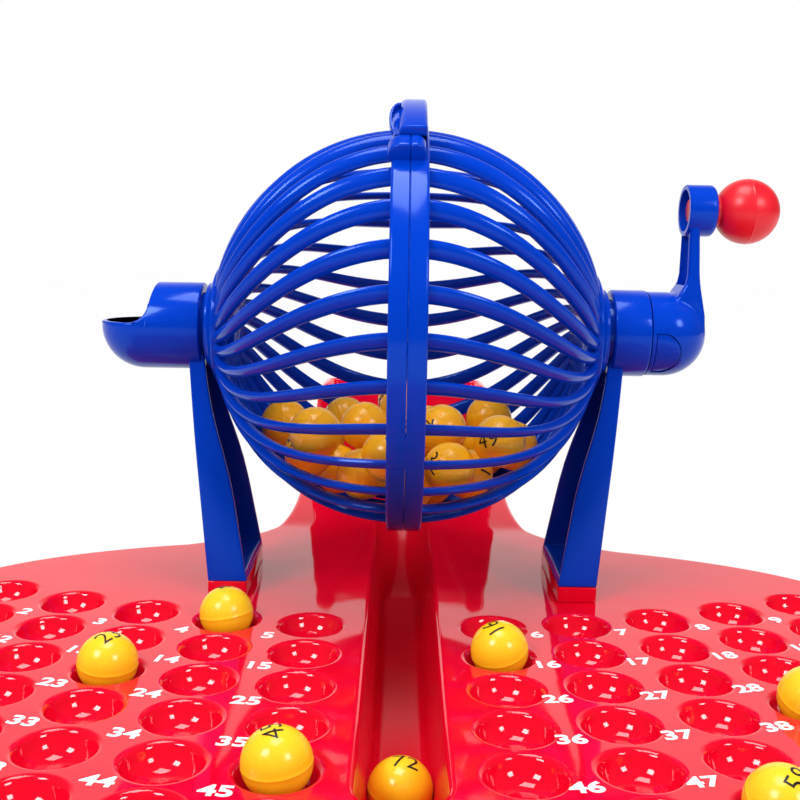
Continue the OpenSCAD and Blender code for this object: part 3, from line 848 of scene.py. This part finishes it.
def crank():
    """The hub cap, the arm with its open back and the boss for the knob, one moulding."""
    arm_top = (KNOB.z - CAGE.z) / MM
    ball_x, radius = 104.1, 17
    ob = turned([(88, 0), (88, radius)] + arc(ball_x, 0, radius, 90, 0, 20), CAGE)
    levels = [(0, 105, 119.6, 9), (8, 106, 119, 9.2), (14, 107, 117.8, 9.2), (17.5, 108.6, 117.1, 9),
              (20.5, 110.6, 116.6, 8.8), (24, 111.3, 116.2, 8.6), (30, 111.3, 115.9, 8.3),
              (40, 111.3, 115.5, 7.9), (arm_top, 111.3, 115.3, 7.5)]
    arm = block([[on_axis(x, y, z) for x, y in rounded_box(x1, x2, half, 1.4)]
                 for z, x1, x2, half in levels])
    cut(ob, arm, "UNION")
    modify(ob, "REMESH", mode="VOXEL", voxel_size=0.00045)
    modify(ob, "SMOOTH", factor=0.5, iterations=14)
    cut(ob, plate([(80, -30), (96.8, -30), (96.8, 30), (80, 30)], 30, -30))
    boss = [(110.3, 0), (110.3, 9.8), (110.7, 10.2)] + arc(119.8, 8.2, 2, 90, 0, 5) + [(121.8, 0)]
    cut(ob, turned(boss, KNOB), "UNION")
    hollow = [[on_axis(x, y, z) for x, y in ((109, -half), (113.3, -half), (113.3, half), (109, half))]
              for z, half in ((20, 6.6), (arm_top - 10, 5.6))]
    cut(ob, block(hollow))
    cut(ob, turned([(90, 0), (90, 12.1), (110, 12.1), (110, 0)], CAGE))
    cut(ob, turned([(108, 0), (108, 8.3), (115.3, 8.3), (115.3, 3.55), (130, 3.55), (130, 0)], KNOB))
    window = [(98.15, -14.9)] + arc(100.1, -6.7, 8.45, -76, 76, 14) + [(98.15, 1.5)]
    cut(ob, plate(window, 30, 6))
    return blue_piece(ob, "crank_moulding", "cage", ("crank",))


def knob():
    """The red knob: a ball with its parting line, a collar, and the pin that snaps into the boss."""
    centre, radius, collar = 135.1, 12.9, 6
    start = 180 - math.degrees(math.asin(collar / radius))
    seam = 0.45
    profile = [(111.9, 0), (111.9, 4.2), (113, 5.4), (114.9, 5.4), (114.9, 3.5), (122.1, 3.5),
               (122.1, collar)]
    profile += arc(centre, 0, radius, start, 90 + seam * 2, 20)
    profile += [(centre - 0.08, radius + 0.07), (centre + 0.08, radius + 0.07)]
    profile += arc(centre, 0, radius, 90 - seam * 2, 0, 24)
    ob = turned(profile, KNOB)
    return hand_over(ob, "knob_ball", "knob", knob_plastic(), ("knob",), smooth=50)


# ---- Balls ----

def number_ball(number, turn, deep):
    """A hollow ball with its moulding seam and its number printed round the pole, at the origin."""
    colours = bpy.context.scene.bingo_colours
    radius = bpy.context.scene.bingo_sizes.ball_diameter / 2
    activate()
    bpy.ops.mesh.primitive_uv_sphere_add(segments=40, ring_count=22, radius=radius)
    ob = bpy.context.active_object
    edit(ob)
    pick("EDGE", lambda edge: all(abs(vertex.co.z) < 1e-6 for vertex in edge.verts))
    bpy.ops.mesh.bevel(offset=0.00012, segments=2)
    bm = bmesh.from_edit_mesh(ob.data)
    for vertex in bm.verts:
        if abs(vertex.co.z) < 1e-6:
            vertex.co *= 1 + 0.00006 / radius
    bmesh.update_edit_mesh(ob.data)
    bpy.ops.object.mode_set(mode="OBJECT")
    # A ball in the cage takes the deeper orange yellow: painted shade for the shade of the ribs over it
    ob.data.materials.append(ball_plastic("blown_polypropylene_amber", colours.amber) if deep else
                             ball_plastic("blown_polypropylene_yellow", colours.yellow))
    ink = figures(str(number), 0.0064, -0.00006, 0.00008)
    edit(ink)
    for axis in (0, 1):
        for i in range(-7, 8):
            bpy.ops.mesh.select_all(action="SELECT")
            across = Vector((1 - axis, axis, 0))
            bpy.ops.mesh.bisect(plane_co=across * i * 0.0008, plane_no=across)
    bpy.ops.object.mode_set(mode="OBJECT")
    for vertex in ink.data.vertices:
        x, y, z = vertex.co
        away = math.hypot(x, y)
        a = away / radius
        level = radius + z + PRINT_LIFT
        flat = level * math.sin(a) / away if away else 0
        vertex.co = (x * flat, y * flat, level * math.cos(a))
    close_up(ink)
    ink.data.materials.append(printed("printed_black", colours.ink))
    ball = joined([ob, ink])
    ball.data.transform(turn.to_matrix().to_4x4())
    return ball


def ball_at(centre, number, turn, name, nodes=(), deep=False):
    ball = number_ball(number, turn, deep)
    ball.data.transform(Matrix.Translation(centre))
    return hand_over(ball, name, "stand", None, nodes)


def facing(away, roll):
    """A turn that brings the printed pole to face a direction, then rolls it."""
    return Vector(away).to_track_quat("Z", "Y") @ Quaternion((0, 0, 1), math.radians(roll))


def pile_places():
    """Ball centres: a bowl against the ribs and a few on top of it, as the frame holds them."""
    sizes = bpy.context.scene.bingo_sizes
    ball = sizes.ball_diameter
    outer = sizes.ring_radius - sizes.ring_depth - ball / 2 - 0.00035
    pitch = 1.16 * ball
    for radius, count, turn in ((outer, BOWL_BALLS, 0), (outer - ball - 0.0001, TOP_BALLS, 40)):
        for i in range(count):
            down = 1 - (i + 0.7) * (pitch / radius) ** 2 / (2 * math.pi)
            out = math.sqrt(1 - down * down)
            a = math.radians(i * GOLDEN_ANGLE + turn)
            yield CAGE + radius * Vector((out * math.cos(a), out * math.sin(a), -down))


def cage_balls():
    draw = random.Random(7)
    numbers = [n for n in range(1, LAST_NUMBER + 1) if n not in DRAWN and n != TROUGH_NUMBER]
    draw.shuffle(numbers)
    for i, centre in enumerate(pile_places()):
        away = Vector((draw.uniform(-1, 1), draw.uniform(-1.2, 0.6), draw.uniform(-0.2, 1)))
        turn = facing(away, draw.uniform(0, 360))
        nodes = ("balls_in_cage",) if i == 0 else ()
        # These balls take the deeper orange yellow, which is painted shade for the shade of the ribs
        ball_at(centre, numbers[i], turn, f"cage_ball_{i + 1:02}", nodes, deep=True)


def board_balls():
    height = DECK_Z / MM + 2.5
    leans = ((-0.15, 0.1, 1), (-0.25, -0.25, 1), (0.1, -0.1, 1),
             (0.1, -0.35, 1), (-0.1, -0.05, 1), (0.3, -0.5, 1))
    rolls = (200, 160, 10, -20, 170, 25)
    for i, number in enumerate(DRAWN):
        x, y, _ = dimple_centre(number)
        nodes = ("balls_on_board",) if i == 0 else ()
        turn = facing(leans[i], rolls[i])
        ball_at(place(x, y, height), number, turn, f"drawn_ball_{number:02}", nodes)
    low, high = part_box("ball_in_trough")
    turn = facing((0.15, -0.1, 1), -60)
    ball_at((low + high) / 2, TROUGH_NUMBER, turn, "trough_ball", ("ball_in_trough",))


# ---- Stage ----

def stage():
    """A pale floor, a white surround, soft lamps and the camera."""
    scene = bpy.context.scene
    activate()
    bpy.ops.mesh.primitive_grid_add(x_subdivisions=8, y_subdivisions=8, size=8)
    floor = bpy.context.active_object
    floor.name = "floor"
    floor.data.materials.append(floor_finish())

    world = bpy.data.worlds.new("white_surround")
    scene.world = world
    world.use_nodes = True
    tree = world.node_tree
    tree.nodes.clear()
    # Reflections meet a dim studio on the front side and the white surround behind the object
    path = add_node(tree, "ShaderNodeLightPath")
    where = add_node(tree, "ShaderNodeTexCoord")
    parts = add_node(tree, "ShaderNodeSeparateXYZ", {"Vector": where.outputs["Generated"]})
    reflected = add_node(tree, "ShaderNodeMapRange", {"Value": parts.outputs["Y"]},
                         From_Min=0.5, From_Max=0.97, To_Min=0.08, To_Max=1.0)
    above = add_node(tree, "ShaderNodeMapRange", {"Value": parts.outputs["Z"]},
                     From_Min=-0.4, From_Max=0.7, To_Min=0.05, To_Max=0.85)
    soft = add_node(tree, "ShaderNodeMix",
                    {"Factor": path.outputs["Is Glossy Ray"], "A": above.outputs["Result"],
                     "B": reflected.outputs["Result"]})
    direct = add_node(tree, "ShaderNodeMath",
                      {0: path.outputs["Is Camera Ray"], 1: path.outputs["Is Transmission Ray"]},
                      operation="MAXIMUM")
    strength = add_node(tree, "ShaderNodeMix",
                        {"Factor": direct.outputs[0], "A": soft.outputs["Result"]}, B=1.0)
    light = add_node(tree, "ShaderNodeBackground", {"Strength": strength.outputs["Result"]})
    light.inputs["Color"].default_value = (1, 1, 1, 1)
    add_node(tree, "ShaderNodeOutputWorld", {"Surface": light.outputs["Background"]})

    for name, spot, size, watts in (("left_softbox", (-0.75, -0.75, 1.05), 0.42, 9),
                                    ("right_softbox", (0.85, -0.85, 0.85), 0.34, 5.5),
                                    ("overhead_softbox", (-0.05, -0.05, 1.2), 0.5, 6)):
        lamp = bpy.data.lights.new(name, "AREA")
        lamp.size, lamp.energy = size, watts
        ob = bpy.data.objects.new(name, lamp)
        ob.location = spot
        ob.rotation_euler = (Vector((0, 0.05, 0.1)) - Vector(spot)).to_track_quat("-Z", "Y").to_euler()
        scene.collection.objects.link(ob)

    camera = bpy.data.objects.new("camera", bpy.data.cameras.new("camera"))
    scene.collection.objects.link(camera)
    camera.data.lens, camera.data.sensor_width = 49, 36
    camera.location = (-0.0022, -0.372, 0.182)
    tilt, pan = math.radians(90 - 8.885), math.radians(1.03)
    look = Matrix.Rotation(tilt, 4, "X") @ Matrix.Rotation(pan, 4, "Z")
    camera.rotation_euler = look.to_euler()
    scene.camera = camera
    scene.view_settings.view_transform = "Standard"


def seen_directly(tree):
    """1 where the camera, a reflection or a see-through ray meets the surface, and 0 for its light."""
    path = add_node(tree, "ShaderNodeLightPath")
    seen = path.outputs["Is Camera Ray"]
    for kind in ("Is Glossy Ray", "Is Transmission Ray"):
        seen = add_node(tree, "ShaderNodeMath", {0: seen, 1: path.outputs[kind]},
                        operation="MAXIMUM").outputs[0]
    return seen


def floor_finish():
    # Matt white paper sweep: takes a faint shadow and otherwise vanishes into the surround
    material = bpy.data.materials.new("matt_white_paper")
    material.use_nodes = True
    tree = material.node_tree
    tree.nodes.clear()
    paper = add_node(tree, "ShaderNodeBsdfDiffuse")
    paper.inputs["Color"].default_value = (0.86, 0.86, 0.86, 1)
    glow = add_node(tree, "ShaderNodeEmission", Strength=1.0)
    share = add_node(tree, "ShaderNodeMath", {0: seen_directly(tree)}, operation="MULTIPLY")
    share.inputs[1].default_value = 0.97
    mix = add_node(tree, "ShaderNodeMixShader",
                   {0: share.outputs[0], 1: paper.outputs[0], 2: glow.outputs[0]})
    add_node(tree, "ShaderNodeOutputMaterial", {"Surface": mix.outputs[0]})
    return material


# ---- The add-on ----

class BINGO_OT_board(bpy.types.Operator):
    """Builds the moulded board with its dimples, trough, chute and leg sockets"""
    bl_idname = "bingo.board"
    bl_label = "Board"

    def execute(self, context):
        board_tray()
        rear_chute()
        leg_sockets()
        return {"FINISHED"}


class BINGO_OT_figures(bpy.types.Operator):
    """Prints the numbers 1 to 90 beside their dimples"""
    bl_idname = "bingo.figures"
    bl_label = "Board figures"

    def execute(self, context):
        board_figures()
        return {"FINISHED"}


class BINGO_OT_legs(bpy.types.Operator):
    """Builds the two hollow legs"""
    bl_idname = "bingo.legs"
    bl_label = "Legs"

    def execute(self, context):
        leg("left")
        leg("right")
        return {"FINISHED"}


class BINGO_OT_bearings(bpy.types.Operator):
    """Builds the bearing with the scoop and the bearing beside the crank"""
    bl_idname = "bingo.bearings"
    bl_label = "Bearings"

    def execute(self, context):
        scoop_and_bearing()
        right_bearing()
        return {"FINISHED"}


class BINGO_OT_rings(bpy.types.Operator):
    """Builds the two halves of the ring round the cage"""
    bl_idname = "bingo.rings"
    bl_label = "Ring"

    def execute(self, context):
        ring_half(-1)
        ring_half(1)
        return {"FINISHED"}


class BINGO_OT_ribs(bpy.types.Operator):
    """Builds the ribs of both halves of the cage"""
    bl_idname = "bingo.ribs"
    bl_label = "Ribs"

    def execute(self, context):
        rib_set(-1)
        rib_set(1)
        return {"FINISHED"}


class BINGO_OT_hubs(bpy.types.Operator):
    """Builds the hubs and journals that the cage turns on"""
    bl_idname = "bingo.hubs"
    bl_label = "Hubs"

    def execute(self, context):
        hub(-1)
        hub(1)
        journal_pin()
        return {"FINISHED"}


class BINGO_OT_latch(bpy.types.Operator):
    """Builds the sliding latch clip"""
    bl_idname = "bingo.latch"
    bl_label = "Latch"

    def execute(self, context):
        latch()
        return {"FINISHED"}


class BINGO_OT_crank(bpy.types.Operator):
    """Builds the crank with its hollow arm"""
    bl_idname = "bingo.crank"
    bl_label = "Crank"

    def execute(self, context):
        crank()
        return {"FINISHED"}


class BINGO_OT_knob(bpy.types.Operator):
    """Builds the turning knob"""
    bl_idname = "bingo.knob"
    bl_label = "Knob"

    def execute(self, context):
        knob()
        return {"FINISHED"}


class BINGO_OT_cage_balls(bpy.types.Operator):
    """Builds the number balls that lie in the cage"""
    bl_idname = "bingo.cage_balls"
    bl_label = "Balls in the cage"

    def execute(self, context):
        cage_balls()
        return {"FINISHED"}


class BINGO_OT_board_balls(bpy.types.Operator):
    """Builds the drawn balls and the ball in the trough"""
    bl_idname = "bingo.board_balls"
    bl_label = "Balls on the board"

    def execute(self, context):
        board_balls()
        return {"FINISHED"}


class BINGO_OT_stage(bpy.types.Operator):
    """Builds the floor, the lamps and the camera"""
    bl_idname = "bingo.stage"
    bl_label = "Stage"

    def execute(self, context):
        stage()
        return {"FINISHED"}


STEPS = (BINGO_OT_board, BINGO_OT_figures, BINGO_OT_legs, BINGO_OT_bearings,
         BINGO_OT_rings, BINGO_OT_ribs, BINGO_OT_hubs, BINGO_OT_latch,
         BINGO_OT_crank, BINGO_OT_knob, BINGO_OT_cage_balls, BINGO_OT_board_balls,
         BINGO_OT_stage)


class BINGO_PT_panel(bpy.types.Panel):
    """The building steps, with the sizes and colours that they use"""
    bl_idname = "BINGO_PT_panel"
    bl_label = "Bingo cage"
    bl_space_type = "VIEW_3D"
    bl_region_type = "UI"
    bl_category = "Bingo cage"

    def draw(self, context):
        layout = self.layout
        for step in STEPS:
            layout.operator(step.bl_idname)
        for group in (context.scene.bingo_sizes, context.scene.bingo_colours):
            column = layout.column()
            for name in group.__annotations__:
                column.prop(group, name)


CLASSES = (BingoSizes, BingoColours, *STEPS, BINGO_PT_panel)


def register():
    for item in CLASSES:
        bpy.utils.register_class(item)
    bpy.types.Scene.bingo_sizes = PointerProperty(type=BingoSizes)
    bpy.types.Scene.bingo_colours = PointerProperty(type=BingoColours)


def unregister():
    del bpy.types.Scene.bingo_colours
    del bpy.types.Scene.bingo_sizes
    for item in reversed(CLASSES):
        bpy.utils.unregister_class(item)


def main():
    register()
    for step in STEPS:
        group, name = step.bl_idname.split(".")
        getattr(getattr(bpy.ops, group), name)()


if __name__ == "__main__":
    main()
